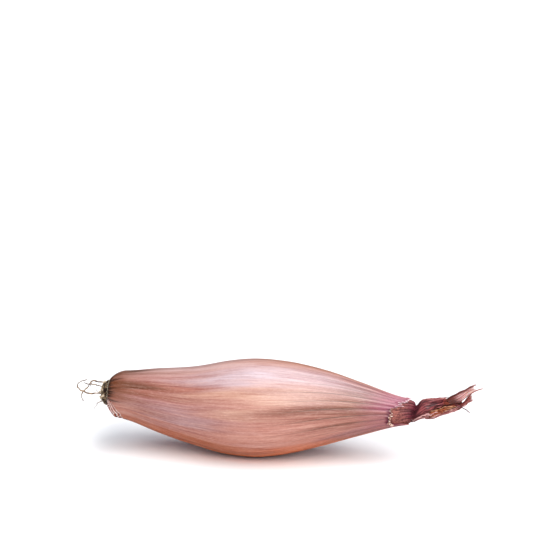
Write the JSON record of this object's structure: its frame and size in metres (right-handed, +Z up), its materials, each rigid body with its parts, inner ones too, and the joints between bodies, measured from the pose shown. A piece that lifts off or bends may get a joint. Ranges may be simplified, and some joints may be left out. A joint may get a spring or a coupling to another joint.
{
  "type": "pink shallot",
  "caption": "Long pink banana shallot lying on its belly, in satin papery skin, with a twisted dry neck and a tuft of dry roots.",
  "frame": {"origin": "in the small flat spot under the belly that the bulb rests on, within 1 mm of the spot's centre and of the plumb line of the centre of mass", "axes": "+X from the root plate to the neck, level; +Z up from the resting surface; +Y to the back, with the neck's two leaf ends broadside to -Y"},
  "size_m": [0.1484, 0.0364, 0.0352],
  "materials": {
    "skin": "satin",
    "dry_leaf": "satin",
    "leaf_end": "matte",
    "root_plate": "matte",
    "root": "matte"
  },
  "bodies": {
    "root": {"bulb": "skin", "dry_neck": "dry_leaf", "neck_leaf_upper": "leaf_end", "neck_leaf_lower": "leaf_end", "neck_fibre": "dry_leaf", "root_plate": "root_plate", "root_1": "root", "root_2": "root", "root_3": "root", "root_4": "root", "root_5": "root", "root_6": "root"}
  },
  "joints": []
}
